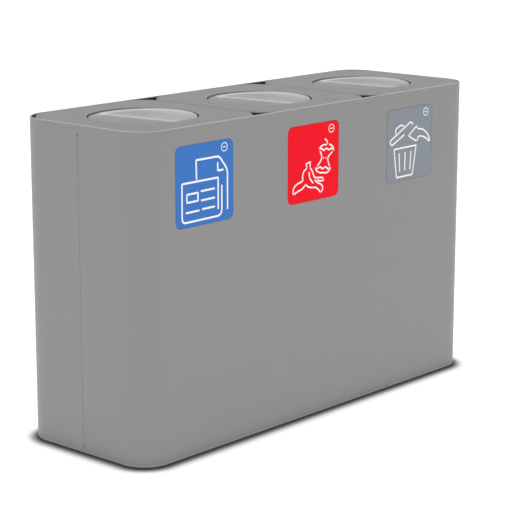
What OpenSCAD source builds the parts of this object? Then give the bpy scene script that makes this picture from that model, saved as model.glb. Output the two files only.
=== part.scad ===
// Three-stream recycling station: one wrap-around sheet-steel body, three lift-up lids,
// a self-levelling round flap in each lid, three lift-out liners.
// Frame: origin on the floor under the middle of the body, +X along the length,
// -Y towards the front (label side), +Z up. Millimetres.

/* [Body] */
// Overall length
body_w = 1200; // [900:10:1500]
// Overall depth of the sheet body
body_d = 400; // [320:5:500]
// Overall height above the floor
body_h = 760; // [650:5:900]
// Outer radius of the four vertical corners
body_r = 70; // [30:1:120]
// Sheet thickness of the body shell
sheet_t = 1.5; // [1:0.1:3]
// Width of the hemmed top rim
rim_w = 4; // [3:0.5:10]
// Height of the hem's return leg
hem_h = 12; // [6:1:25]
// Gap between the front and rear half shells
seam_gap = 0.8; // [0.2:0.1:2]
// Height of the shell's bottom edge above the floor
foot_lift = 4; // [0:1:20]

/* [Lids] */
// Gap between a lid and the rim around it
lid_gap = 1.2; // [0.8:0.1:5]
// Gap between two neighbouring lids
lid_seam = 2; // [1:0.5:6]
// Lid sheet thickness
lid_t = 1.5; // [1:0.1:3]
// How far the lid face lies below the rim
lid_drop = 1; // [0:0.5:6]
// Depth of the lid's turned-down skirt
skirt_h = 20; // [10:1:40]
// Clear radius of the throw-in opening
throat_r = 128; // [90:0.5:150]
// Bend radius of the rolled opening lip
lip_r = 3; // [2:0.5:10]
// Depth of the turned-down collar around the opening
collar_h = 20; // [10:1:40]
// Corner radius of the two outer rear lid corners, relieved for the hinge swing
swing_r = 82; // [65:1:100]
// Distance of the hinge axis from the lid's rear edge
hinge_inset = 18; // [8:1:30]

/* [Flaps] */
// Radius of the flap disc
flap_r = 124; // [80:0.5:145]
// Flap sheet thickness
flap_t = 1.5; // [1:0.1:3]
// Depth of the fold below the disc's left and right edges
flap_fold = 5; // [0:0.5:20]
// Drop of the disc's highest edges below the lid face
flap_drop = 1.5; // [1:0.5:15]
// Flap axle radius
axle_r = 4; // [3:0.5:8]
// Radial running clearance of axles and hinge pins
run_fit = 0.05; // [0.02:0.01:0.1]

/* [Labels] */
// Label width
label_w = 186; // [100:1:300]
// Label height
label_h = 184; // [100:1:300]
// Label corner radius
label_r = 16; // [4:1:40]
// Distance of the label's top edge below the rim
label_top = 42; // [20:1:120]
// Label spacing along the front
label_pitch = 374; // [300:1:420]
// Offset of the middle label from the body's centre
label_x = -31; // [-60:1:60]
// Label thickness
label_t = 0.3; // [0.1:0.1:1]

/* [Liners] */
// Liner length along the station
liner_w = 348; // [250:1:380]
// Liner depth front to back
liner_d = 336; // [250:1:360]
// Height of the liner's rolled top edge above the floor
liner_top = 688; // [500:1:720]
// Outer radius of the liner's vertical corners
liner_r = 18; // [12:1:40]
// Liner wall thickness
liner_t = 3; // [1:0.5:5]

/* [Floor fixing] */
// Radius of the floor anchor holes
anchor_r = 6.5; // [4:0.5:10]
// Anchor hole spacing along the length
anchor_x = 900; // [500:10:1100]
// Anchor hole spacing front to back
anchor_y = 240; // [120:10:320]

/* [Hidden] */
$fn = 96;
e = 0.01;
shell_d = body_d - 2*label_t;             // sheet depth, so labels stay inside body_d
hw = body_w/2;
hd = shell_d/2;
in_w = body_w - 2*rim_w - 2*lid_gap;      // field the three lids fill
lid_w = (in_w - 2*lid_seam)/3;
pitch = lid_w + lid_seam;
lid_d = shell_d - 2*rim_w - 2*lid_gap;
lid_r = body_r - rim_w - lid_gap;
lid_z = body_h - lid_drop;                // lid face
lid_u = lid_z - lid_t;                    // lid underside
hinge_y = lid_d/2 - hinge_inset;
hinge_x = 80;                             // hinges' distance from the lid's middle
knuckle_r = 2.6;
hinge_z = lid_u - knuckle_r - 0.3;
pin_r = 1.5;
leaf_t = 1.5;
edge_r = 3;                               // outer bend radius of the lid edge
fold_z = lid_z - flap_drop - flap_fold;   // top of the fold
axle_z = fold_z - flap_t - axle_r + 0.4;
axle_len = 2*(throat_r + 22);
rear_face = hinge_y + 1.2;                // front face of the rear rail
seam_z = 390;                             // middle of the seam strips
rail_top = 733;                           // front rail
rear_top = 727;                           // rear rail
pan_z = foot_lift + sheet_t;              // underside of the base pan
pan_t = 2;
floor_z = pan_z + pan_t;
liner_foot = 14;                          // height of the liner's feet
cx = [-pitch, 0, pitch];
in_y = hd - sheet_t;                      // inner face of the shell, front and rear
in_x = hw - sheet_t;                      // inner face of the shell, left and right

powder = [0.56, 0.56, 0.55];
satin = [0.78, 0.78, 0.77];
steel = [0.6, 0.6, 0.6];
dark = [0.15, 0.15, 0.16];
plastic = [0.2, 0.2, 0.21];

// ---------- helpers ----------

// Profile (x outward from the path, y up) extruded along +/-X or +/-Y straights
module run_front(x0, x1, yf) translate([x1, yf, 0]) rotate([0, 0, -90]) rotate([90, 0, 0]) linear_extrude(x1 - x0) children();
module run_rear(x0, x1, yr) translate([x0, yr, 0]) rotate([0, 0, 90]) rotate([90, 0, 0]) linear_extrude(x1 - x0) children();
module run_left(y0, y1, xl) translate([xl, y0, 0]) rotate([0, 0, 180]) rotate([90, 0, 0]) linear_extrude(y1 - y0) children();
module run_right(y0, y1, xr) translate([xr, y1, 0]) rotate([90, 0, 0]) linear_extrude(y1 - y0) children();
// Quarter turn about (x, y) starting at angle a, path radius r
module turn(x, y, a, r) translate([x, y, 0]) rotate([0, 0, a]) rotate_extrude(angle = 90) translate([r, 0]) children();

module rounded(w, d, r) {
  square([w - 2*r, d], center = true);
  square([w, d - 2*r], center = true);
  for (i = [-1, 1], j = [-1, 1]) translate([i*(w/2 - r), j*(d/2 - r)]) circle(r);
}

// ---------- body shell ----------

module shell_profile() {
  translate([-sheet_t, foot_lift + 2]) square([sheet_t, body_h - rim_w/2 - foot_lift - 2]);
  // hemmed top edge
  difference() {
    translate([-rim_w/2, body_h - rim_w/2]) circle(rim_w/2);
    translate([-rim_w/2, body_h - rim_w/2]) circle(rim_w/2 - sheet_t);
    translate([-rim_w - 1, body_h - rim_w - 1]) square([rim_w + 2, rim_w/2 + 1]);
  }
  translate([-rim_w, body_h - rim_w/2 - hem_h]) square([sheet_t, hem_h]);
  // bottom return flange with a small outer bend
  translate([-22, foot_lift]) square([20, sheet_t]);
  difference() {
    translate([-2, foot_lift + 2]) circle(2);
    translate([-2, foot_lift + 2]) circle(0.5);
    translate([-4.5, foot_lift + 2]) square([5, 3]);
    translate([-6, foot_lift - 1]) square([4, 6]);
  }
}

module half_shell() {
  sx = hw - body_r;
  sy = hd - body_r;
  union() {
    run_front(-sx, sx, -hd) shell_profile();
    run_left(-sy, -seam_gap/2, -hw) shell_profile();
    run_right(-sy, -seam_gap/2, hw) shell_profile();
    turn(-sx, -sy, 180, body_r) shell_profile();
    turn(sx, -sy, 270, body_r) shell_profile();
  }
}

module shell_front() color(powder) half_shell();
module shell_rear() color(powder) rotate([0, 0, 180]) half_shell();

module seam_strip(s) color(steel) {
  // joint plate welded behind the vertical seam
  translate([s*(in_x - 1), 0, seam_z]) difference() {
    cube([2, 56, 690], center = true);
    for (z = [-300:120:300], y = [-16, 16]) translate([0, y, z]) rotate([0, 90, 0]) cylinder(r = 3, h = 10, center = true);
  }
}
module seam_strip_left() seam_strip(-1);
module seam_strip_right() seam_strip(1);

// weld studs of the half shells with their lock nuts
module seam_nuts() color(steel)
  for (s = [-1, 1], z = [-300:120:300], y = [-16, 16])
    translate([s*in_x, y, seam_z + z]) rotate([0, -s*90, 0]) {
      cylinder(r = 2.5, h = 10);
      translate([0, 0, 2]) cylinder(r = 4.8, h = 5, $fn = 6);
    }

// ---------- base ----------

module base_pan() color(powder) {
  pw = 2*in_x - 1; pd = 2*in_y - 1; pr = body_r - sheet_t - 0.5;
  difference() {
    translate([0, 0, pan_z]) linear_extrude(28) rounded(pw, pd, pr);
    translate([0, 0, floor_z]) linear_extrude(40) rounded(pw - 2*pan_t, pd - 2*pan_t, pr - pan_t);
    for (i = [-1, 1], j = [-1, 1]) translate([i*anchor_x/2, j*anchor_y/2, 0]) cylinder(r = anchor_r, h = 40);
    for (i = [-1, 0, 1], j = [-1, 1]) translate([i*(hw - 75), j*155, 0]) cylinder(r = 4.1, h = 40);
    for (i = [-1, 1], j = [-1, 1]) translate([i*pitch/2 + 7, j*150, 0]) cylinder(r = 2.6, h = 40);
  }
}

module foot_pads() color(dark)
  for (i = [-1, 0, 1], j = [-1, 1]) translate([i*(hw - 75), j*155, 0]) difference() {
    union() {
      cylinder(r1 = 20, r2 = 22, h = 2);
      translate([0, 0, 2]) cylinder(r = 22, h = pan_z - 2);
    }
    translate([0, 0, 3]) cylinder(r = 4.05, h = 20);
  }

module foot_bolts() color(steel)
  for (i = [-1, 0, 1], j = [-1, 1]) translate([i*(hw - 75), j*155, 0]) {
    translate([0, 0, 3]) cylinder(r = 4, h = 16);
    translate([0, 0, floor_z]) cylinder(r = 8, h = 1.2);
    translate([0, 0, floor_z + 1.2]) cylinder(r = 7.5, h = 6.5, $fn = 6);
  }

// ---------- inner frame ----------

module divider(x) color(powder) {
  difference() {
    union() {
      translate([x - 0.6, -184, floor_z]) cube([1.2, 368, 678 - floor_z]);
      translate([x - 0.6, -184, floor_z]) cube([16, 368, 1.2]);
      translate([x - 0.6, -184, floor_z]) cube([14, 1.2, 678 - floor_z]);
      translate([x - 0.6, 182.8, floor_z]) cube([14, 1.2, 678 - floor_z]);
    }
    for (j = [-1, 1]) translate([x + 7, j*150, 0]) cylinder(r = 2.6, h = 40);
  }
}
module divider_left() divider(-pitch/2);
module divider_right() divider(pitch/2);

module divider_screws() color(steel)
  for (i = [-1, 1], j = [-1, 1]) translate([i*pitch/2 + 7, j*150, 0]) {
    translate([0, 0, pan_z]) cylinder(r = 2.5, h = 10);
    translate([0, 0, floor_z + 1.2]) cylinder(r = 4.6, h = 3);
  }

// L-rail on the front wall: carries the bumpers
module front_rail() color(powder) {
  l = 2*(hw - body_r) - 10;
  difference() {
    union() {
      translate([-l/2, -in_y, rail_top - 33]) cube([l, 2, 33]);
      translate([-l/2, -in_y, rail_top - 2]) cube([l, 21, 2]);
      translate([-l/2, -in_y + 19, rail_top - 14]) cube([l, 2, 14]);
    }
    for (c = cx, i = [-1, 1]) translate([c + i*95, -in_y + 9, rail_top - 10]) cylinder(r = 2.6, h = 20);
  }
}

// Channel on the rear wall: carries the hinges and stiffens the rim
module rear_rail() color(powder) {
  l = 2*(hw - body_r) - 10;
  w = in_y - rear_face;
  difference() {
    translate([-l/2, rear_face, rear_top - 46]) cube([l, w, 46]);
    translate([-l/2 - 1, rear_face + 2, rear_top - 44]) cube([l + 2, w, 42]);
    for (c = cx, i = [-1, 1], k = [-20, 20]) translate([c + i*hinge_x + k, rear_face - 1, rear_top - 14])
      rotate([-90, 0, 0]) cylinder(r = 2.6, h = 5);
  }
}

// Bridging channels under the joints between the lids
module cross_rail(x) color(powder) {
  y0 = -in_y + 21; y1 = rear_face;
  difference() {
    translate([x - 14, y0, 700]) cube([28, y1 - y0, 29]);
    translate([x - 12, y0 - 1, 698]) cube([24, y1 - y0 + 2, 29]);
  }
}
module cross_rail_left() cross_rail(-pitch/2);
module cross_rail_right() cross_rail(pitch/2);

module lid_bumpers() color(dark)
  for (c = cx, i = [-1, 1]) translate([c + i*95, -in_y + 9, 0]) {
    translate([0, 0, rail_top]) cylinder(r = 6, h = lid_z - skirt_h - 0.3 - rail_top);
    translate([0, 0, rail_top - 5]) cylinder(r = 2.5, h = 6);
  }

// ---------- labels ----------

module label(x) translate([x, -hd, body_h - label_top - label_h/2]) rotate([90, 0, 0])
  linear_extrude(label_t) rounded(label_w, label_h, label_r);
module label_paper() color([0.10, 0.33, 0.62]) label(label_x - label_pitch);
module label_food() color([0.72, 0.12, 0.14]) label(label_x);
module label_residual() color([0.36, 0.37, 0.38]) label(label_x + label_pitch);

// ---------- liners ----------

module liner(x) color(plastic) translate([x, 0, 0]) {
  z0 = floor_z + liner_foot; h = liner_top - z0;
  difference() {
    union() {
      translate([0, 0, z0]) linear_extrude(h) rounded(liner_w, liner_d, liner_r);
      // flanged rim
      translate([0, 0, liner_top - 4]) linear_extrude(4) rounded(liner_w + 8, liner_d + 8, liner_r + 4);
      // moulded feet
      for (i = [-1, 1], j = [-1, 1]) translate([i*95, j*110, floor_z]) cylinder(r = 14, h = liner_foot + 1);
    }
    translate([0, 0, z0 + liner_t]) linear_extrude(h) rounded(liner_w - 2*liner_t, liner_d - 2*liner_t, liner_r - liner_t);
    // hand holes at both ends
    for (s = [-1, 1]) translate([s*liner_w/2, 0, liner_top - 45]) cube([30, 100, 24], center = true);
  }
}
module liner_left() liner(-pitch);
module liner_centre() liner(0);
module liner_right() liner(pitch);

// Wire frame that clamps the bag over the liner's rim
module bag_frame(x) color(steel) translate([x, 0, liner_top + 3]) {
  w = liner_w/2 - 1.5; d = liner_d/2 - 1.5; r = liner_r - 1.5;
  union() {
    run_front(-(w - r), w - r, -d) circle(3, $fn = 24);
    run_rear(-(w - r), w - r, d) circle(3, $fn = 24);
    run_left(-(d - r), d - r, -w) circle(3, $fn = 24);
    run_right(-(d - r), d - r, w) circle(3, $fn = 24);
    turn(-(w - r), -(d - r), 180, r) circle(3, $fn = 24);
    turn(w - r, -(d - r), 270, r) circle(3, $fn = 24);
    turn(w - r, d - r, 0, r) circle(3, $fn = 24);
    turn(-(w - r), d - r, 90, r) circle(3, $fn = 24);
  }
}
module bag_frame_left() bag_frame(-pitch);
module bag_frame_centre() bag_frame(0);
module bag_frame_right() bag_frame(pitch);

// ---------- hinges ----------

module hinge_base(x) color(steel)
  for (i = [-1, 1]) translate([x + i*hinge_x, hinge_y, hinge_z]) {
    difference() {
      union() {
        for (k = [-1, 1]) {
          translate([k*22.5 - 7.5, 0, 0]) rotate([0, 90, 0]) cylinder(r = knuckle_r, h = 15);
          translate([k*22.5 - 7.5, 1.2 - leaf_t, -8]) cube([15, leaf_t, 8]);
        }
        translate([-30, 1.2 - leaf_t, -46]) cube([60, leaf_t, 40]);
      }
      translate([-40, 0, 0]) rotate([0, 90, 0]) cylinder(r = pin_r, h = 80);
      for (k = [-20, 20]) translate([k, -5, rear_top - 14 - hinge_z]) rotate([-90, 0, 0]) cylinder(r = 2.6, h = 20);
    }
  }
module hinge_base_left() hinge_base(-pitch);
module hinge_base_centre() hinge_base(0);
module hinge_base_right() hinge_base(pitch);

module hinge_pins(x) color(steel)
  for (i = [-1, 1]) translate([x + i*hinge_x - 31, hinge_y, hinge_z]) rotate([0, 90, 0]) cylinder(r = pin_r, h = 62);
module hinge_pins_left() hinge_pins(-pitch);
module hinge_pins_centre() hinge_pins(0);
module hinge_pins_right() hinge_pins(pitch);

module hinge_screws() color(steel)
  for (c = cx, i = [-1, 1], k = [-20, 20]) translate([c + i*hinge_x + k, rear_face - leaf_t, rear_top - 14]) rotate([-90, 0, 0]) {
    cylinder(r = 2.5, h = 8);
    translate([0, 0, -2.2]) cylinder(r = 4.4, h = 2.2);
    translate([0, 0, leaf_t + 2]) cylinder(r = 4.6, h = 4, $fn = 6);
  }

module hinge_leaf(x) color(steel)
  for (i = [-1, 1]) translate([x + i*hinge_x, hinge_y, hinge_z]) difference() {
    union() {
      translate([-14.5, 0, 0]) rotate([0, 90, 0]) cylinder(r = knuckle_r, h = 29);
      translate([-14.5, -8, lid_u - hinge_z - leaf_t]) cube([29, 8, leaf_t]);
      translate([-14.5, -2.4, 1]) cube([29, 2.4, lid_u - hinge_z - 1]);
      translate([-30, -40, lid_u - hinge_z - leaf_t]) cube([60, 34, leaf_t]);
    }
    translate([-40, 0, 0]) rotate([0, 90, 0]) cylinder(r = pin_r + run_fit, h = 80);
  }
module hinge_leaf_left() hinge_leaf(-pitch);
module hinge_leaf_centre() hinge_leaf(0);
module hinge_leaf_right() hinge_leaf(pitch);

// ---------- lids ----------

module skirt_profile() {
  translate([-lid_t, lid_z - skirt_h]) square([lid_t, skirt_h - edge_r]);
  difference() {
    translate([-edge_r, lid_z - edge_r]) circle(edge_r);
    translate([-edge_r, lid_z - edge_r]) circle(edge_r - lid_t);
    translate([-2*edge_r - 1, lid_z - 2*edge_r - 1]) square([4*edge_r, edge_r + 1]);
    translate([-2*edge_r - 1, lid_z - 2*edge_r]) square([edge_r + 1, 4*edge_r]);
  }
}
module front_skirt_profile() {
  skirt_profile();
  translate([-14, lid_z - skirt_h]) square([14, lid_t]);
}
module lip_profile() {
  // x = distance from the opening's centre
  difference() {
    translate([throat_r + lip_r, lid_z - lip_r]) circle(lip_r);
    translate([throat_r + lip_r, lid_z - lip_r]) circle(lip_r - lid_t);
    translate([throat_r - 1, lid_z - 3*lip_r]) square([3*lip_r, 2*lip_r]);
    translate([throat_r + lip_r, lid_z - 3*lip_r]) square([3*lip_r, 4*lip_r]);
  }
  translate([throat_r, lid_z - collar_h]) square([lid_t, collar_h - lip_r]);
}

// Plate outline with separate radii of the rear left (rl) and rear right (rr) corners
module lid_outline(w, d, r, rl, rr) {
  difference() {
    rounded(w, d, r);
    translate([-w/2 - 1, d/2 - rl]) square([rl + 1, rl + 1]);
    translate([w/2 - rr, d/2 - rr]) square([rr + 1, rr + 1]);
  }
  intersection() {
    translate([-w/2 + rl, d/2 - rl]) circle(rl);
    translate([-w/2, d/2 - rl - e]) square([rl + e, rl + e]);
  }
  intersection() {
    translate([w/2 - rr, d/2 - rr]) circle(rr);
    translate([w/2 - rr - e, d/2 - rr - e]) square([rr + e, rr + e]);
  }
}

module lid(x, rl = lid_r, rr = lid_r) color(powder) translate([x, 0, 0]) {
  sx = lid_w/2 - lid_r;
  sy = lid_d/2 - lid_r;
  xl = -lid_w/2 + rl;
  xr = lid_w/2 - rr;
  difference() {
    union() {
      difference() {
        union() {
          translate([0, 0, lid_u]) linear_extrude(lid_t)
            lid_outline(lid_w - 2*edge_r, lid_d - 2*edge_r, lid_r - edge_r, rl - edge_r, rr - edge_r);
          translate([xl, lid_d/2 - edge_r - 1, lid_u]) cube([xr - xl, edge_r + 1, lid_t]);
        }
        translate([0, 0, lid_u - 1]) cylinder(r = throat_r + lip_r, h = 10);
      }
      rotate_extrude() lip_profile();
      run_front(-sx, sx, -lid_d/2) front_skirt_profile();
      run_left(-sy, lid_d/2 - rl, -lid_w/2) skirt_profile();
      run_right(-sy, lid_d/2 - rr, lid_w/2) skirt_profile();
      turn(-sx, -sy, 180, lid_r) skirt_profile();
      turn(sx, -sy, 270, lid_r) skirt_profile();
      turn(xr, lid_d/2 - rr, 0, rr) skirt_profile();
      turn(xl, lid_d/2 - rl, 90, rl) skirt_profile();
    }
    // axle clearance through the collar
    translate([0, 0, axle_z]) rotate([90, 0, 0]) cylinder(r = axle_r + 1, h = 2*throat_r + 8, center = true);
  }
}
module lid_left() lid(-pitch, rl = swing_r);
module lid_centre() lid(0);
module lid_right() lid(pitch, rr = swing_r);

module flap_bearings(x) color(dark)
  for (s = [-1, 1]) translate([x, s*(throat_r + 13), 0]) difference() {
    union() {
      translate([-15, -6, axle_z]) cube([30, 12, lid_u - axle_z]);
      translate([0, -6, axle_z]) rotate([-90, 0, 0]) cylinder(r = 10, h = 12);
    }
    translate([0, -10, axle_z]) rotate([-90, 0, 0]) cylinder(r = axle_r + run_fit, h = 20);
  }
module flap_bearings_left() flap_bearings(-pitch);
module flap_bearings_centre() flap_bearings(0);
module flap_bearings_right() flap_bearings(pitch);

// ---------- flaps ----------

module flap(x) color(satin) translate([x, 0, 0]) {
  a = flap_fold;
  intersection() {
    translate([0, 150, 0]) rotate([90, 0, 0]) linear_extrude(300)
      polygon([[0, fold_z], [150, fold_z + a*150/flap_r], [150, fold_z + a*150/flap_r - flap_t],
               [0, fold_z - flap_t], [-150, fold_z + a*150/flap_r - flap_t], [-150, fold_z + a*150/flap_r]]);
    translate([0, 0, fold_z - 20]) cylinder(r = flap_r, h = 60);
  }
}
module flap_left() flap(-pitch);
module flap_centre() flap(0);
module flap_right() flap(pitch);

module flap_axle(x) color(steel) translate([x, 0, 0]) difference() {
  translate([0, 0, axle_z]) rotate([90, 0, 0]) cylinder(r = axle_r, h = axle_len, center = true);
  // flat along the top where the disc is welded on
  translate([-10, -flap_r - 1, fold_z - flap_t]) cube([20, 2*flap_r + 2, 10]);
}
module flap_axle_left() flap_axle(-pitch);
module flap_axle_centre() flap_axle(0);
module flap_axle_right() flap_axle(pitch);

// two pendulum weights hung from the axle, clear of the throat's middle
module flap_weights(x) color(steel)
  for (s = [-1, 1]) translate([x, s*92, axle_z]) difference() {
    union() {
      translate([-7, -15, -34]) cube([14, 30, 34]);
      translate([-19, -15, -56]) cube([38, 30, 26]);
      rotate([90, 0, 0]) cylinder(r = 7, h = 30, center = true);
    }
    rotate([90, 0, 0]) cylinder(r = axle_r, h = 40, center = true);
    translate([-10, -20, axle_r - 0.8]) cube([20, 40, 20]);
  }
module flap_weights_left() flap_weights(-pitch);
module flap_weights_centre() flap_weights(0);
module flap_weights_right() flap_weights(pitch);

shell_front();
shell_rear();
seam_strip_left();
seam_strip_right();
seam_nuts();
base_pan();
foot_pads();
foot_bolts();
divider_left();
divider_right();
divider_screws();
front_rail();
rear_rail();
cross_rail_left();
cross_rail_right();
lid_bumpers();
label_paper();
label_food();
label_residual();
liner_left();
liner_centre();
liner_right();
bag_frame_left();
bag_frame_centre();
bag_frame_right();
hinge_base_left();
hinge_base_centre();
hinge_base_right();
hinge_pins_left();
hinge_pins_centre();
hinge_pins_right();
hinge_screws();
lid_left();
lid_centre();
lid_right();
hinge_leaf_left();
hinge_leaf_centre();
hinge_leaf_right();
flap_bearings_left();
flap_bearings_centre();
flap_bearings_right();
flap_left();
flap_centre();
flap_right();
flap_axle_left();
flap_axle_centre();
flap_axle_right();
flap_weights_left();
flap_weights_centre();
flap_weights_right();
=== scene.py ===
import math

import bmesh
import bpy
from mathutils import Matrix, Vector


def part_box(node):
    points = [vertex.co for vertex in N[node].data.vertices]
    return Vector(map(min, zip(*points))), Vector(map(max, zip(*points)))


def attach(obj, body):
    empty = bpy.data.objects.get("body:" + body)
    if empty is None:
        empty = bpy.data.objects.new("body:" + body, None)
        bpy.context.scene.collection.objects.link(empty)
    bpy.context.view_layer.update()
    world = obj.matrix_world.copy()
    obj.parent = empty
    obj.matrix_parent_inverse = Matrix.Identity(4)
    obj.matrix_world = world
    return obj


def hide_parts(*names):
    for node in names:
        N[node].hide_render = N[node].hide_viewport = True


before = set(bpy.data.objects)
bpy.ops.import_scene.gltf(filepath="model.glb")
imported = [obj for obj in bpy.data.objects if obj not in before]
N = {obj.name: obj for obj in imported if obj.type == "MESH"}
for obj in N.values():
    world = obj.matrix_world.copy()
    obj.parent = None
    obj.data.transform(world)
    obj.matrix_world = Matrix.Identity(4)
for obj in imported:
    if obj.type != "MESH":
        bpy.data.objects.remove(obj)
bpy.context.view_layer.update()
SIDES = ("left", "centre", "right")
scene = bpy.context.scene
mm = 0.001


# ------------------------------------------------------------------ camera
def camera():
    f_px, yaw, pitch = 1821.36, 48.0406, 12.7546
    cam = bpy.data.cameras.new("camera")
    ob = bpy.data.objects.new("camera", cam)
    scene.collection.objects.link(ob)
    cam.sensor_width = 36
    cam.lens = f_px / 512 * 36
    a, p = math.radians(yaw), math.radians(pitch)
    d = Vector((math.sin(a) * math.cos(p), math.cos(a) * math.cos(p), -math.sin(p)))
    ob.location = (-3.28451, -2.93114, 1.3597)
    ob.rotation_mode = "QUATERNION"
    ob.rotation_quaternion = d.to_track_quat("-Z", "Y")
    cam.clip_start, cam.clip_end = 0.05, 60
    scene.camera = ob


camera()


# ------------------------------------------------------------------ node helpers
class G:
    """A small wrapper that keeps node building short."""

    def __init__(self, tree):
        self.t = tree
        tree.nodes.clear()

    def n(self, kind, **kw):
        node = self.t.nodes.new(kind)
        for k, v in kw.items():
            setattr(node, k, v)
        return node

    def l(self, a, b):
        self.t.links.new(a, b)

    def math(self, op, a, b=None, clamp=False):
        m = self.n("ShaderNodeMath", operation=op, use_clamp=clamp)
        for i, v in enumerate((a, b)):
            if v is None:
                continue
            if isinstance(v, (int, float)):
                m.inputs[i].default_value = v
            else:
                self.l(v, m.inputs[i])
        return m.outputs[0]

    def noise(self, vec, scale, detail=4, rough=0.55, dist=0.0):
        t = self.n("ShaderNodeTexNoise")
        t.inputs["Scale"].default_value = scale
        t.inputs["Detail"].default_value = detail
        t.inputs["Roughness"].default_value = rough
        t.inputs["Distortion"].default_value = dist
        self.l(vec, t.inputs["Vector"])
        return t.outputs["Fac"]

    def ramp(self, fac, *stops):
        r = self.n("ShaderNodeValToRGB")
        e = r.color_ramp.elements
        while len(e) < len(stops):
            e.new(0.5)
        for el, (p, c) in zip(e, stops):
            el.position = p
            el.color = (c, c, c, 1) if isinstance(c, (int, float)) else (*c, 1)
        self.l(fac, r.inputs[0])
        return r.outputs[0]

    def range(self, fac, a0, a1, b0, b1):
        m = self.n("ShaderNodeMapRange")
        for k, v in zip(("From Min", "From Max", "To Min", "To Max"), (a0, a1, b0, b1)):
            m.inputs[k].default_value = v
        self.l(fac, m.inputs["Value"])
        return m.outputs[0]

    def mixc(self, fac, a, b, mode="MIX"):
        m = self.n("ShaderNodeMix", data_type="RGBA", blend_type=mode)
        for sock, v in ((m.inputs[0], fac), (m.inputs[6], a), (m.inputs[7], b)):
            if isinstance(v, (int, float)):
                sock.default_value = v
            elif isinstance(v, tuple):
                sock.default_value = (*v, 1)
            else:
                self.l(v, sock)
        return m.outputs[2]

    def bump(self, height, strength, distance, normal=None):
        b = self.n("ShaderNodeBump")
        b.inputs["Strength"].default_value = strength
        b.inputs["Distance"].default_value = distance
        self.l(height, b.inputs["Height"])
        if normal is not None:
            self.l(normal, b.inputs["Normal"])
        return b.outputs[0]

    def bevel(self, radius, samples=4):
        b = self.n("ShaderNodeBevel", samples=samples)
        b.inputs["Radius"].default_value = radius
        return b.outputs[0]


def new_mat(name, **sockets):
    m = bpy.data.materials.new(name)
    m.use_nodes = True
    g = G(m.node_tree)
    out = g.n("ShaderNodeOutputMaterial")
    p = g.n("ShaderNodeBsdfPrincipled")
    for k, v in sockets.items():
        s = p.inputs[k.replace("_", " ")]
        s.default_value = (*v, 1) if isinstance(v, tuple) and len(v) == 3 else v
    g.l(p.outputs[0], out.inputs[0])
    co = g.n("ShaderNodeTexCoord").outputs["Object"]
    return m, g, p, co


def stretch(g, co, sx, sy, sz):
    mp = g.n("ShaderNodeMapping")
    mp.inputs["Scale"].default_value = (sx, sy, sz)
    g.l(co, mp.inputs["Vector"])
    return mp.outputs[0]


def edge_mask(g, radius=0.0015, samples=6):
    """1 on sharp edges, 0 on flat areas: how far the bevelled normal leaves the true one."""
    bev = g.bevel(radius, samples)
    geo = g.n("ShaderNodeNewGeometry").outputs["Normal"]
    d = g.n("ShaderNodeVectorMath", operation="DOT_PRODUCT")
    g.l(bev, d.inputs[0])
    g.l(geo, d.inputs[1])
    return g.range(d.outputs["Value"], 1.0, 0.82, 0.0, 1.0)


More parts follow.
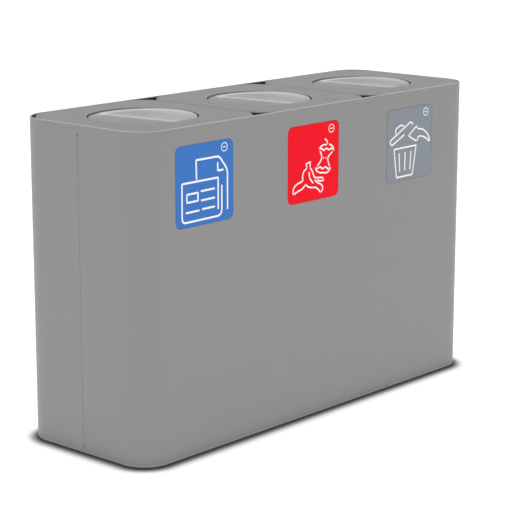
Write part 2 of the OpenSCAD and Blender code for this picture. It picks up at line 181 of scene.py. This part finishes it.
# ------------------------------------------------------------------ materials
def powder_coat(name, base=(0.272, 0.272, 0.272), rough=0.46, part="plain"):
    """Fine-texture powder coat: orange peel, pinhead sparkle in roughness, lighter edges that are partly rubbing and
    partly a painted highlight, dust low down; the shell and lid variants add painted highlights and painted shade.
    """
    m, g, p, co = new_mat(name, Specular_IOR_Level=0.35)
    rub_and_highlight_amount = 0.15 if part == "shell" else 0.8
    big = g.noise(co, 2.2, 3, 0.5)
    mid = g.noise(co, 26, 4, 0.6)
    fine = g.noise(co, 700, 2, 0.5)
    peel = g.noise(co, 260, 3, 0.5)
    lo = tuple(c * 0.985 for c in base)
    hi = tuple(c * 1.015 for c in base)
    col = g.mixc(big, lo, hi)
    col = g.mixc(g.range(mid, 0.35, 0.75, 0.0, 0.10), col, tuple(c * 0.93 for c in base))
    col = g.mixc(g.range(fine, 0.40, 0.60, 0.0, 0.06), col, tuple(c * 1.12 for c in base))
    # lighter edges: partly rubbed coat, partly a painted highlight along the edges
    rubbed_and_highlit_edge = g.math("MULTIPLY", edge_mask(g, 0.0026, 8), g.range(g.noise(co, 60, 5, 0.7), 0.35, 0.72, 0.62 * rub_and_highlight_amount, rub_and_highlight_amount))
    col = g.mixc(rubbed_and_highlit_edge, col, tuple(min(1, c * 1.75) for c in base))
    z = g.n("ShaderNodeSeparateXYZ")
    g.l(co, z.inputs[0])
    dust = g.math("MULTIPLY", g.range(z.outputs[2], 0.09, 0.0, 0.0, 0.22), g.range(mid, 0.3, 0.7, 0.2, 1.0), clamp=True)
    col = g.mixc(dust, col, (0.33, 0.325, 0.315))
    if part == "shell":
        # painted highlight: a lighter colour along the top of the hemmed rim and along the bottom bend
        rim = g.range(z.outputs[2], 0.7577, 0.7588, 0.0, 1.0)
        col = g.mixc(rim, col, tuple(c * 1.80 for c in base))
        foot = g.range(z.outputs[2], 0.0100, 0.0065, 0.0, 1.0)
        col = g.mixc(foot, col, tuple(c * 1.45 for c in base))
        # painted shade: the inside of the walls below the rim is coloured near black, standing in for the shade inside
        # the body
        nrm = g.n("ShaderNodeTexCoord").outputs["Normal"]
        nz = g.n("ShaderNodeSeparateXYZ")
        g.l(nrm, nz.inputs[0])
        inward = g.math("ADD", g.math("MULTIPLY", nz.outputs[0], z.outputs[0]), g.math("MULTIPLY", nz.outputs[1], z.outputs[1]))
        inside = g.math("MULTIPLY", g.range(inward, -0.03, -0.08, 0.0, 1.0), g.range(z.outputs[2], 0.7577, 0.7565, 0.0, 1.0))
        col = g.mixc(inside, col, (0.036, 0.036, 0.037))
    elif part == "lid":
        # painted highlight: a lighter colour along the rolled lip around the opening
        u = g.math("DIVIDE", z.outputs[0], PITCH)
        dx = g.math("MULTIPLY", g.math("SUBTRACT", u, g.math("ROUND", u)), PITCH)
        rr = g.math("SQRT", g.math("ADD", g.math("MULTIPLY", dx, dx), g.math("MULTIPLY", z.outputs[1], z.outputs[1])))
        lip = g.range(rr, FLAP_R + 8.0 * mm, FLAP_R + 6.6 * mm, 0.0, 1.0)
        top = g.range(z.outputs[2], 0.7552, 0.7575, 0.0, 1.0)
        col = g.mixc(g.math("MULTIPLY", lip, top), col, tuple(c * 1.38 for c in base))
        # painted shade: the colour turns near black below the bend of the skirt, down the collar from a little below
        # its top, and on faces turned downwards, standing in for the shade in the gaps and under the lid
        nrm = g.n("ShaderNodeTexCoord").outputs["Normal"]
        nz = g.n("ShaderNodeSeparateXYZ")
        g.l(nrm, nz.inputs[0])
        outside = g.range(rr, FLAP_R + 6.6 * mm, FLAP_R + 8.0 * mm, 0.0, 1.0)
        collar = g.math("MAXIMUM", g.range(z.outputs[2], 0.7545, 0.7525, 0.0, 1.0), outside)
        bend = g.math("MINIMUM", g.range(z.outputs[2], 0.7566, 0.7556, 0.0, 1.0), collar)
        under = g.math("MAXIMUM", bend, g.range(nz.outputs[2], -0.35, -0.6, 0.0, 1.0))
        shade_dark_col = g.mixc(g.range(mid, 0.3, 0.7, 0.0, 1.0), (0.030, 0.030, 0.031), (0.042, 0.042, 0.043))
        col = g.mixc(under, col, shade_dark_col)
    g.l(col, p.inputs["Base Color"])
    r = g.math("ADD", g.range(mid, 0.3, 0.7, rough - 0.04, rough + 0.05), g.range(fine, 0.3, 0.7, -0.03, 0.03))
    g.l(r, p.inputs["Roughness"])
    h = g.math("ADD", g.math("MULTIPLY", peel, 0.7), g.math("MULTIPLY", fine, 0.3))
    g.l(g.bump(h, 0.16, 0.0004, g.bevel(0.0006)), p.inputs["Normal"])
    return m


def satin_steel(name, base=(0.50, 0.50, 0.50), rough=0.34, along=1, metal=1.0, bump=0.10, soft=1.0):
    """Brushed steel with a long fine grain along one axis, smudges and faint scratches."""
    m, g, p, co = new_mat(name, Metallic=metal, Anisotropic=0.35)
    s = [420.0, 420.0, 420.0]
    s[along] = 7.0
    grain = g.noise(stretch(g, co, *s), 1.0, 4, 0.65)
    s2 = [1500.0, 1500.0, 1500.0]
    s2[along] = 16.0
    hair = g.noise(stretch(g, co, *s2), 1.0, 2, 0.5)
    smudge = g.noise(co, 13, 4, 0.6, 0.3)
    col = g.mixc(g.range(grain, 0.35, 0.65, 0.0, 1.0), tuple(c * (1 - 0.05 * soft) for c in base), tuple(min(1, c * (1 + 0.05 * soft)) for c in base))
    col = g.mixc(g.range(smudge, 0.55, 0.8, 0.0, 0.10), col, tuple(c * 0.86 for c in base))
    # lighter edges: partly rubbed metal, partly a painted highlight
    rubbed_and_highlit_edge = g.math("MULTIPLY", edge_mask(g, 0.001), 0.35)
    col = g.mixc(rubbed_and_highlit_edge, col, tuple(min(1, c * 1.35) for c in base))
    g.l(col, p.inputs["Base Color"])
    r = g.math("ADD", g.range(hair, 0.3, 0.7, rough - 0.05 * soft, rough + 0.06 * soft), g.range(smudge, 0.5, 0.8, 0.0, 0.07))
    g.l(r, p.inputs["Roughness"])
    g.l(g.bump(hair, bump, 0.0002, g.bevel(0.0005)), p.inputs["Normal"])
    return m


def zinc(name):
    """Bright zinc plate with a slight spangle and dull patches."""
    m, g, p, co = new_mat(name, Metallic=1.0)
    v = g.n("ShaderNodeTexVoronoi")
    v.inputs["Scale"].default_value = 180
    g.l(co, v.inputs["Vector"])
    spangle = g.n("ShaderNodeSeparateColor")
    g.l(v.outputs["Color"], spangle.inputs[0])
    dull = g.noise(co, 40, 5, 0.65)
    col = g.mixc(spangle.outputs[0], (0.46, 0.465, 0.47), (0.58, 0.58, 0.575))
    col = g.mixc(g.range(dull, 0.5, 0.75, 0, 0.5), col, (0.34, 0.34, 0.335))
    g.l(col, p.inputs["Base Color"])
    g.l(g.range(dull, 0.3, 0.7, 0.28, 0.5), p.inputs["Roughness"])
    g.l(g.bump(dull, 0.12, 0.0003, g.bevel(0.0005)), p.inputs["Normal"])
    return m


def moulded(name, base, rough=0.5, grain=520.0, strength=0.25, coat=0.0, scuff=(0.16, 0.16, 0.16)):
    """Moulded plastic or rubber: fine grain, scuffs, dusty edges."""
    m, g, p, co = new_mat(name, Specular_IOR_Level=0.4, Coat_Weight=coat)
    fine = g.noise(co, grain, 3, 0.55)
    mid = g.noise(co, 22, 5, 0.62)
    col = g.mixc(g.range(mid, 0.3, 0.7, 0, 1), tuple(c * 0.88 for c in base), tuple(c * 1.1 for c in base))
    scuffs = g.noise(stretch(g, co, 35, 35, 6), 1.0, 6, 0.75, 0.8)
    col = g.mixc(g.range(scuffs, 0.62, 0.75, 0.0, 0.30), col, scuff)
    col = g.mixc(g.math("MULTIPLY", edge_mask(g, 0.0015), 0.3), col, tuple(c * 1.8 + 0.01 for c in base))
    g.l(col, p.inputs["Base Color"])
    g.l(g.math("ADD", g.range(mid, 0.3, 0.7, rough - 0.05, rough + 0.07), g.range(fine, 0.3, 0.7, -0.03, 0.03)), p.inputs["Roughness"])
    g.l(g.bump(fine, strength, 0.0003, g.bevel(0.0008)), p.inputs["Normal"])
    return m


def vinyl(name, base, rough=0.38):
    """Printed vinyl film: very slight print mottle, soft stipple, thinner ink at the cut edge."""
    m, g, p, co = new_mat(name, Specular_IOR_Level=0.06)
    mott = g.noise(co, 90, 4, 0.6)
    fine = g.noise(co, 900, 2, 0.5)
    lo = tuple(c * 0.965 for c in base)
    hi = tuple(min(1, c * 1.02 + 0.002) for c in base)
    col = g.mixc(g.range(mott, 0.3, 0.7, 0, 1), lo, hi)
    col = g.mixc(g.math("MULTIPLY", edge_mask(g, 0.001), 0.25), col, tuple(min(1, c * 0.7 + 0.12) for c in base))
    g.l(col, p.inputs["Base Color"])
    g.l(g.math("ADD", g.range(mott, 0.3, 0.7, rough - 0.04, rough + 0.05), g.range(fine, 0.3, 0.7, -0.02, 0.02)), p.inputs["Roughness"])
    g.l(g.bump(fine, 0.06, 0.0002), p.inputs["Normal"])
    return m


lid_lo, lid_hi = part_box("lid_centre")
PITCH = (lid_hi[0] - lid_lo[0]) + 2 * mm
flap_lo, flap_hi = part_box("flap_centre")
FLAP_R = (flap_hi[0] - flap_lo[0]) / 2

M = {
    "powder": powder_coat("powder_coat_grey"),
    # painted shade: near-black coat for the inner rails, standing in for the shade seen through the gaps between the
    # lids
    "inner": powder_coat("inner_frame_painted_shade", base=(0.045, 0.045, 0.046), rough=0.55),
    "shell": powder_coat("powder_coat_grey_shell", part="shell"),
    # painted shade: the lid coat is a slightly darker copy of the grey coat, so the top reads darker
    "lid": powder_coat("powder_coat_grey_lid", base=(0.258, 0.258, 0.258), part="lid"),
    "flap": satin_steel("flap_satin_steel", (0.54, 0.54, 0.54), 0.19, along=1, bump=0.02, soft=0.4),
    "steel": satin_steel("axle_ground_steel", (0.48, 0.48, 0.475), 0.30, along=1),
    "zinc": zinc("zinc_plate"),
    "liner": moulded("liner_polyethylene", (0.030, 0.031, 0.033), 0.46, 420, 0.3),
    "nylon": moulded("nylon_black", (0.022, 0.022, 0.023), 0.42, 700, 0.2),
    "rubber": moulded("rubber_black", (0.014, 0.014, 0.014), 0.72, 300, 0.4, scuff=(0.07, 0.07, 0.068)),
    "blue": vinyl("label_vinyl_blue", (0.055, 0.193, 0.575)),
    "red": vinyl("label_vinyl_red", (0.95, 0.0025, 0.016)),
    "grey": vinyl("label_vinyl_grey", (0.262, 0.290, 0.322)),
    "white": vinyl("label_print_white", (0.98, 0.98, 0.98), 0.42),
    "edge_blue": vinyl("label_edge_blue", (0.050, 0.155, 0.44)),
    "edge_red": vinyl("label_edge_red", (0.66, 0.003, 0.014)),
    "edge_grey": vinyl("label_edge_grey", (0.190, 0.205, 0.220)),
}


def mat_for(n):
    if n == "label_paper":
        return M["blue"]
    if n == "label_food":
        return M["red"]
    if n == "label_residual":
        return M["grey"]
    if n in ("foot_pads", "lid_bumpers"):
        return M["rubber"]
    if n.startswith("liner"):
        return M["liner"]
    if n.startswith("flap_bearings"):
        return M["nylon"]
    if n.startswith(("flap_axle", "flap_weights")):
        return M["steel"]
    if n.startswith("flap"):
        return M["flap"]
    if n.startswith("shell"):
        return M["shell"]
    if n in ("lid_left", "lid_centre", "lid_right"):
        return M["lid"]
    # painted shade: the inner rails get the near-black coat
    if n.startswith(("front_rail", "rear_rail", "cross_rail")):
        return M["inner"]
    if n == "base_pan":
        return M["powder"]
    if n in ("divider_left", "divider_right"):
        return M["powder"]
    return M["zinc"]


for name, ob in N.items():
    ob.data.materials.clear()
    ob.data.materials.append(mat_for(name))


# ------------------------------------------------------------------ piece helpers
def add_mesh(name, verts, faces, mat, body, smooth=False):
    me = bpy.data.meshes.new(name)
    me.from_pydata([tuple(v) for v in verts], [], faces)
    me.validate()
    bm = bmesh.new()
    bm.from_mesh(me)
    bmesh.ops.recalc_face_normals(bm, faces=bm.faces)
    bm.to_mesh(me)
    bm.free()
    for p in me.polygons:
        p.use_smooth = smooth
    ob = bpy.data.objects.new(name, me)
    scene.collection.objects.link(ob)
    me.materials.append(mat)
    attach(ob, body)
    return ob


# ------------------------------------------------------------------ flap discs
FOLD_TURN = math.radians(8.0)


def flap_disc(side):
    """Pressed disc: a valley fold along its axle that gets shallower towards the rim, the left half flatter than the right."""
    lo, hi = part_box("flap_" + side)
    cx = (lo[0] + hi[0]) / 2
    R = (hi[0] - lo[0]) / 2
    top, t = hi[2], 1.5 * mm
    depth = hi[2] - lo[2] - t

    x0 = -15 * mm

    def slope(x):
        """Slope of the pressed profile at x from the fold, before scaling."""
        if x < 0:
            u = -x / R
            return 0.010 + 0.052 * u
        u = x / R
        bend = 0.062 * math.exp(-((x - 7 * mm) / (9 * mm)) ** 2)
        return 0.026 + bend + 0.055 * max(0.0, (u - 0.5) / 0.5) ** 1.8

    steps = 400
    table = {}
    for sgn in (-1, 1):
        acc, row = 0.0, [0.0]
        reach = R - sgn * x0
        for i in range(steps):
            acc += slope(sgn * reach * (i + 0.5) / steps) * reach / steps
            row.append(acc)
        table[sgn] = [v * depth / acc for v in row]

    def z(x):
        x -= x0
        row = table[1 if x >= 0 else -1]
        q = min(abs(x) / (R - (x0 if x >= 0 else -x0)) * steps, steps - 1e-6)
        i = int(q)
        return row[i] + (row[i + 1] - row[i]) * (q - i)

    # rows across the fold, finer near it, so the profile is followed exactly
    xs = [R * (math.sin(math.pi * (i / 60 - 0.5))) for i in range(61)]
    xs += [k * mm + x0 for k in (-9, -6, -4, -2.5, -1.2, -0.5, 0.5, 1.2, 2, 3, 4, 5, 6, 7.5, 9, 11, 13.5, 17, 21)]
    xs = sorted(set(round(x, 7) for x in xs if abs(x) < R - 1e-5))
    half = 40

    def skin(dz, shrink):
        rows = []
        for x in xs:
            ymax = math.sqrt(max(0.0, (R - shrink) ** 2 - min(abs(x), R - shrink - 1e-6) ** 2))
            xx = max(-(R - shrink - 1e-5), min(R - shrink - 1e-5, x))
            row = []
            for j in range(-half, half + 1):
                y = ymax * math.sin(math.pi / 2 * j / half)
                s = min(1.0, max(0.0, (math.hypot(xx, y) / R - 0.80) / 0.20))
                row.append((cx + xx, y, top - (depth - z(xx)) * (1 - 0.34 * s * s * (3 - 2 * s)) + dz))
            rows.append(row)
        return rows

    verts, faces = [], []

    def put(rows, flip):
        base = len(verts)
        n = 2 * half + 1
        for r in rows:
            verts.extend(r)
        for i in range(len(rows) - 1):
            for j in range(n - 1):
                a = base + i * n + j
                f = (a, a + n, a + n + 1, a + 1)
                faces.append(tuple(reversed(f)) if flip else f)
        loop = [base + j for j in range(n)]
        loop += [base + i * n + n - 1 for i in range(1, len(rows))]
        loop += [base + (len(rows) - 1) * n + j for j in reversed(range(n - 1))]
        loop += [base + i * n for i in reversed(range(1, len(rows) - 1))]
        return loop

    loops = [put(skin(0.0, 0.5 * mm), False)]
    for dz, shrink in ((-0.15 * mm, 0.13 * mm), (-0.5 * mm, 0.0), (-1.0 * mm, 0.0), (-1.35 * mm, 0.13 * mm)):
        rows = skin(dz, shrink)
        base = len(verts)
        flat = [v for r in rows for v in r]
        idx = list(loops[0])
        verts.extend(flat[k] for k in idx)
        loops.append(list(range(base, base + len(idx))))
    loops.append(put(skin(-t, 0.5 * mm), True))
    for a, b in zip(loops, loops[1:]):
        m = len(a)
        for i in range(m):
            j = (i + 1) % m
            faces.append((a[i], a[j], b[j], b[i]))
    # the fold in the photo runs a few degrees off the axle
    ca, sa = math.cos(FOLD_TURN), math.sin(FOLD_TURN)
    verts = [(cx + (v[0] - cx) * ca - v[1] * sa, (v[0] - cx) * sa + v[1] * ca, v[2]) for v in verts]
    ob = add_mesh("flap_disc_" + side, verts, faces, M["flap"], "flap_" + side, True)
    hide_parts("flap_" + side)
    return ob


for s in SIDES:
    flap_disc(s)


# ------------------------------------------------------------------ pictograms
def catmull(pts, n=6):
    out = []
    for i in range(len(pts) - 1):
        p0 = pts[max(i - 1, 0)]
        p1, p2 = pts[i], pts[i + 1]
        p3 = pts[min(i + 2, len(pts) - 1)]
        for k in range(n):
            t = k / n
            out.append(tuple(
                0.5 * (2 * b + (c - a) * t + (2 * a - 5 * b + 4 * c - d) * t * t + (3 * b - a - 3 * c + d) * t ** 3)
                for a, b, c, d in zip(p0, p1, p2, p3)))
    out.append(tuple(pts[-1]))
    return out


def rounded_path(pts, r, closed=False, n=6):
    """Polyline with its inner corners rounded to radius r (in millimetres)."""
    out = []
    m = len(pts)
    for i, p in enumerate(pts):
        if not closed and i in (0, m - 1):
            out.append(tuple(p))
            continue
        a, b, c = Vector(pts[i - 1]), Vector(p), Vector(pts[(i + 1) % m])
        u, v = (a - b), (c - b)
        ri = r[i] if isinstance(r, (list, tuple)) else r
        d = min(ri, u.length * 0.45, v.length * 0.45)
        u.normalize()
        v.normalize()
        for k in range(n + 1):
            t = k / n
            q = (b + u * d) * (1 - t) ** 2 + b * 2 * t * (1 - t) + (b + v * d) * t * t
            out.append((q.x, q.y))
    return out


def ribbon(verts, faces, pts, w, closed=False, y=0.0, caps=True):
    """Flat stroke of width w along pts, mitred at the corners, with round ends."""
    P = [Vector(p) for p in pts]
    clean = [P[0]]
    for p in P[1:]:
        if (p - clean[-1]).length > 1e-4:
            clean.append(p)
    P = clean
    if closed and (P[0] - P[-1]).length < 1e-4:
        P.pop()
    m = len(P)
    L, R = [], []
    for i, p in enumerate(P):
        a = P[i - 1] if (closed or i) else None
        c = P[(i + 1) % m] if (closed or i < m - 1) else None
        d1 = (p - a).normalized() if a is not None else None
        d2 = (c - p).normalized() if c is not None else None
        if d1 is None:
            d1 = d2
        if d2 is None:
            d2 = d1
        n1, n2 = Vector((-d1.y, d1.x)), Vector((-d2.y, d2.x))
        nn = n1 + n2
        if nn.length < 1e-6:
            nn = n1.copy()
        nn.normalize()
        k = 1 / max(0.5, nn.dot(n1))
        L.append(p + nn * (w / 2 * k))
        R.append(p - nn * (w / 2 * k))
    base = len(verts)
    for a, b in zip(L, R):
        verts.append((a.x, y, a.y))
        verts.append((b.x, y, b.y))
    span = m if closed else m - 1
    for i in range(span):
        j = (i + 1) % m
        faces.append((base + 2 * i, base + 2 * i + 1, base + 2 * j + 1, base + 2 * j))
    if not closed and caps:
        for i, sgn in ((0, -1), (m - 1, 1)):
            d = ((P[1] - P[0]) if i == 0 else (P[-1] - P[-2])).normalized() * sgn
            a0 = math.atan2(d.y, d.x)
            ring = [base + 2 * i + 1, ] if sgn > 0 else [base + 2 * i]
            for k in range(1, 8):
                a = a0 - math.pi / 2 + math.pi * k / 8
                verts.append((P[i].x + w / 2 * math.cos(a), y, P[i].y + w / 2 * math.sin(a)))
                ring.append(len(verts) - 1)
            ring.append(base + 2 * i if sgn > 0 else base + 2 * i + 1)
            faces.append(tuple(ring))


LIFT = 0.06 * mm


def pictogram(name, node, strokes, w):
    """strokes: (kind, points in label units 0..1 from the top left corner, corner radius in mm, closed)"""
    lo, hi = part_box(node)
    W, H = (hi[0] - lo[0]) / mm, (hi[2] - lo[2]) / mm
    verts, faces = [], []
    for i, (kind, pts, r, closed) in enumerate(strokes):
        q = [(u * W, (1 - v) * H) for u, v in pts]
        ww = w
        if kind == "curve":
            q = catmull(q)
        elif kind == "thin":
            ww = w * 0.62
            q = catmull(q)
        elif kind == "fine":
            ww = 1.9
        elif r:
            q = rounded_path(q, r, closed)
        ribbon(verts, faces, q, ww, closed)
    # raised print: the flat strokes stand a hair proud of the film
    vv = [(lo[0] + x * mm, lo[1] - LIFT, lo[2] + z * mm) for x, _, z in verts]
    ob = add_mesh(name, vv, faces, M["white"], "station", False)
    return ob


PAPER = [
    ("line", [(0.359, 0.425), (0.352, 0.197), (0.752, 0.197), (0.898, 0.375), (0.898, 0.861)], (0, 1, 9, 12, 0), False),
    ("line", [(0.727, 0.277), (0.727, 0.372), (0.817, 0.370)], 3, False),
    ("line", [(0.733, 0.837), (0.733, 0.456), (0.110, 0.456), (0.110, 0.935), (0.797, 0.930), (0.797, 0.564)], (0, 1, 1, 12, 15, 0), False),
    ("line", [(0.192, 0.594), (0.382, 0.594), (0.382, 0.693), (0.192, 0.693)], 0.8, True),
    ("line", [(0.440, 0.584), (0.666, 0.582)], 0, False),
    ("line", [(0.445, 0.697), (0.666, 0.695)], 0, False),
    ("line", [(0.460, 0.807), (0.666, 0.805)], 0, False),
    ("line", [(0.182, 0.816), (0.396, 0.814)], 0, False),
]
FOOD = [
    ("curve", [(0.726, 0.227), (0.768, 0.262), (0.768, 0.303)], 0, False),
    ("curve", [(0.768, 0.303), (0.690, 0.300), (0.632, 0.322), (0.602, 0.353)], 0, False),
    ("line", [(0.602, 0.353), (0.651, 0.338), (0.699, 0.372), (0.757, 0.350), (0.801, 0.376), (0.849, 0.360), (0.906, 0.392)], 0, False),
    ("curve", [(0.815, 0.306), (0.874, 0.337), (0.906, 0.390)], 0, False),
    ("curve", [(0.629, 0.380), (0.659, 0.441), (0.642, 0.498), (0.580, 0.552)], 0, False),
    ("curve", [(0.867, 0.414), (0.797, 0.461), (0.783, 0.510), (0.815, 0.584)], 0, False),
    ("thin", [(0.699, 0.461), (0.694, 0.477)], 0, False),
    ("thin", [(0.742, 0.467), (0.747, 0.483)], 0, False),
    ("line", [(0.530, 0.573), (0.568, 0.594), (0.629, 0.577), (0.675, 0.609), (0.741, 0.592), (0.785, 0.624), (0.842, 0.613)], 0, False),
    ("curve", [(0.530, 0.574), (0.560, 0.620), (0.632, 0.656), (0.687, 0.660), (0.741, 0.672), (0.801, 0.656), (0.842, 0.614)], 0, False),
    ("line", [(0.373, 0.560), (0.350, 0.506), (0.440, 0.487), (0.423, 0.557)], 2, False),
    ("curve", [(0.373, 0.560), (0.307, 0.600), (0.285, 0.661), (0.281, 0.717), (0.176, 0.746), (0.111, 0.795), (0.103, 0.875)], 0, False),
    ("curve", [(0.103, 0.875), (0.180, 0.845), (0.271, 0.822), (0.315, 0.797), (0.343, 0.764)], 0, False),
    ("curve", [(0.343, 0.764), (0.391, 0.804), (0.452, 0.824), (0.540, 0.836), (0.596, 0.868), (0.645, 0.920)], 0, False),
    ("curve", [(0.645, 0.920), (0.680, 0.878), (0.674, 0.831), (0.632, 0.800), (0.584, 0.780), (0.530, 0.738)], 0, False),
    ("curve", [(0.423, 0.557), (0.476, 0.615), (0.512, 0.688), (0.560, 0.711), (0.657, 0.720), (0.700, 0.743)], 0, False),
    ("curve", [(0.700, 0.743), (0.692, 0.764), (0.650, 0.763), (0.584, 0.750)], 0, False),
    ("curve", [(0.413, 0.622), (0.428, 0.699), (0.488, 0.768)], 0, False),
]
RESIDUAL = [
    ("line", [(0.159, 0.546), (0.646, 0.542), (0.571, 0.938), (0.221, 0.941)], 2, True),
    ("line", [(0.271, 0.618), (0.291, 0.858)], 0, False),
    ("line", [(0.402, 0.618), (0.402, 0.853)], 0, False),
    ("line", [(0.536, 0.614), (0.513, 0.853)], 0, False),
    ("line", [(0.563, 0.243), (0.520, 0.204), (0.062, 0.425), (0.099, 0.492), (0.371, 0.369)], 7, False),
    ("line", [(0.189, 0.330), (0.189, 0.272), (0.300, 0.226), (0.357, 0.247)], 9, False),
    ("curve", [(0.664, 0.322), (0.778, 0.335), (0.892, 0.407), (0.942, 0.485), (0.960, 0.540)], 0, False),
    ("curve", [(0.960, 0.540), (0.865, 0.469), (0.749, 0.427), (0.686, 0.437), (0.670, 0.496)], 0, False),
    ("line", [(0.670, 0.496), (0.471, 0.394), (0.652, 0.277), (0.664, 0.322)], 1.5, False),
]


def ring_mark(u, v, r=0.052):
    """Small generic mark: a ring with a bar in it."""
    ring = [(u + r * math.cos(2 * math.pi * k / 20), v + r * math.sin(2 * math.pi * k / 20)) for k in range(20)]
    return [("fine", ring, 0, True), ("fine", [(u - 0.5 * r, v), (u + 0.5 * r, v)], 0, False)]


pictogram("print_paper", "label_paper", PAPER + ring_mark(0.845, 0.095), 4.5)
pictogram("print_food", "label_food", FOOD + ring_mark(0.850, 0.100), 3.7)
pictogram("print_residual", "label_residual", RESIDUAL + ring_mark(0.850, 0.100), 4.0)


def label_border(side, node, mat):
    """Slightly darker, sealed border line along the label's cut edge."""
    lo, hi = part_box(node)
    W, H = (hi[0] - lo[0]) / mm, (hi[2] - lo[2]) / mm
    q = 0.9
    r = 16 - q
    pts = []
    for cx, cz, a0 in ((W - 16, H - 16, 0), (16, H - 16, 90), (16, 16, 180), (W - 16, 16, 270)):
        for k in range(9):
            a = math.radians(a0 + 90 * k / 8)
            pts.append((cx + r * math.cos(a), cz + r * math.sin(a)))
    verts, faces = [], []
    ribbon(verts, faces, pts, 1.8, True)
    vv = [(lo[0] + x * mm, lo[1] - LIFT * 0.5, lo[2] + z * mm) for x, _, z in verts]
    return add_mesh("label_border_" + side, vv, faces, mat, "station", False)


label_border("paper", "label_paper", M["edge_blue"])
label_border("food", "label_food", M["edge_red"])
label_border("residual", "label_residual", M["edge_grey"])


# ------------------------------------------------------------------ seam pins
def seam_pins():
    """Small blind pin heads that close each seam near its top and bottom edge."""
    lo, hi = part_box("shell_front")
    for side, x, sg in (("left", lo[0], -1), ("right", hi[0], 1)):
        verts, faces = [], []
        for zc in (hi[2] - 24 * mm, lo[2] + 15 * mm):
            base = len(verts)
            n = 20
            for r, dx in ((1.9, -0.20), (1.9, 0.03), (1.5, 0.05), (0.7, 0.05), (0.45, -0.15)):
                for k in range(n):
                    a = 2 * math.pi * k / n
                    verts.append((x + sg * dx * mm, r * mm * math.cos(a), zc + r * mm * math.sin(a)))
            for i in range(4):
                for k in range(n):
                    k2 = (k + 1) % n
                    faces.append((base + i * n + k, base + i * n + k2, base + (i + 1) * n + k2, base + (i + 1) * n + k))
            faces.append(tuple(base + 4 * n + k for k in range(n)))
            faces.append(tuple(base + k for k in reversed(range(n))))
        add_mesh("seam_pins_" + side, verts, faces, M["rubber"], "station", False)


seam_pins()


# ------------------------------------------------------------------ stage
def stage():
    me = bpy.data.meshes.new("floor")
    s = 14
    me.from_pydata([(-s, -s, 0), (s, -s, 0), (s, s, 0), (-s, s, 0)], [], [(0, 1, 2, 3)])
    floor = bpy.data.objects.new("floor", me)
    scene.collection.objects.link(floor)
    m = bpy.data.materials.new("studio_floor")
    m.use_nodes = True
    g = G(m.node_tree)
    out = g.n("ShaderNodeOutputMaterial")
    p = g.n("ShaderNodeBsdfPrincipled")
    p.inputs["Roughness"].default_value = 0.9
    p.inputs["Specular IOR Level"].default_value = 0.0
    # soft contact shade that follows the body's footprint
    pos = g.n("ShaderNodeNewGeometry").outputs["Position"]
    sep = g.n("ShaderNodeSeparateXYZ")
    g.l(pos, sep.inputs[0])
    hx, hy, r = 0.6, 0.2, 0.07
    qx = g.math("MAXIMUM", g.math("SUBTRACT", g.math("ABSOLUTE", sep.outputs[0]), hx - r), 0.0)
    qy = g.math("MAXIMUM", g.math("SUBTRACT", g.math("ABSOLUTE", sep.outputs[1]), hy - r), 0.0)
    d = g.math("SUBTRACT", g.math("SQRT", g.math("ADD", g.math("MULTIPLY", qx, qx), g.math("MULTIPLY", qy, qy))), r)
    near = g.range(d, 0.0, 0.039, 0.0, 1.0)
    shade = g.ramp(near, (0.0, 0.07), (0.11, 0.15), (0.22, 0.25), (0.33, 0.40), (0.45, 0.57), (0.57, 0.73), (0.70, 0.86), (0.85, 0.95), (1.0, 1.0))
    g.l(g.mixc(shade, (0.0, 0.0, 0.0), (0.9, 0.9, 0.9)), p.inputs["Base Color"])
    em = g.n("ShaderNodeEmission")
    em.inputs["Strength"].default_value = 0.52
    g.l(shade, em.inputs["Color"])
    add = g.n("ShaderNodeAddShader")
    g.l(p.outputs[0], add.inputs[0])
    g.l(em.outputs[0], add.inputs[1])
    g.l(add.outputs[0], out.inputs[0])
    me.materials.append(m)

    w = bpy.data.worlds.new("studio")
    scene.world = w
    w.use_nodes = True
    g = G(w.node_tree)
    out = g.n("ShaderNodeOutputWorld")
    co = g.n("ShaderNodeTexCoord").outputs["Generated"]
    sep = g.n("ShaderNodeSeparateXYZ")
    g.l(co, sep.inputs[0])
    sky = g.ramp(g.range(sep.outputs[2], -0.05, 1.0, 0.0, 1.0), (0.0, 0.40), (0.17, 0.36), (0.215, 0.42), (0.29, 0.84), (0.34, 1.08), (0.46, 1.12), (0.62, 0.74), (1.0, 0.66))
    bg = g.n("ShaderNodeBackground")
    g.l(sky, bg.inputs["Color"])
    bg.inputs["Strength"].default_value = 1.0
    white = g.n("ShaderNodeBackground")
    white.inputs["Color"].default_value = (1, 1, 1, 1)
    white.inputs["Strength"].default_value = 1.2
    lp = g.n("ShaderNodeLightPath")
    mix = g.n("ShaderNodeMixShader")
    g.l(lp.outputs["Is Camera Ray"], mix.inputs[0])
    g.l(bg.outputs[0], mix.inputs[1])
    g.l(white.outputs[0], mix.inputs[2])
    g.l(mix.outputs[0], out.inputs[0])


def area(name, loc, target, size, power, size_y=None):
    li = bpy.data.lights.new(name, "AREA")
    li.energy = power
    li.size = size
    if size_y:
        li.shape = "RECTANGLE"
        li.size_y = size_y
    ob = bpy.data.objects.new(name, li)
    scene.collection.objects.link(ob)
    ob.location = loc
    ob.rotation_mode = "QUATERNION"
    ob.rotation_quaternion = (Vector(target) - Vector(loc)).to_track_quat("-Z", "Y")
    return ob


stage()
area("key_top", (0.6, 0.4, 3.2), (0, 0, 0.6), 2.4, 8, 1.6)

scene.view_settings.view_transform = "Standard"
scene.view_settings.look = "None"
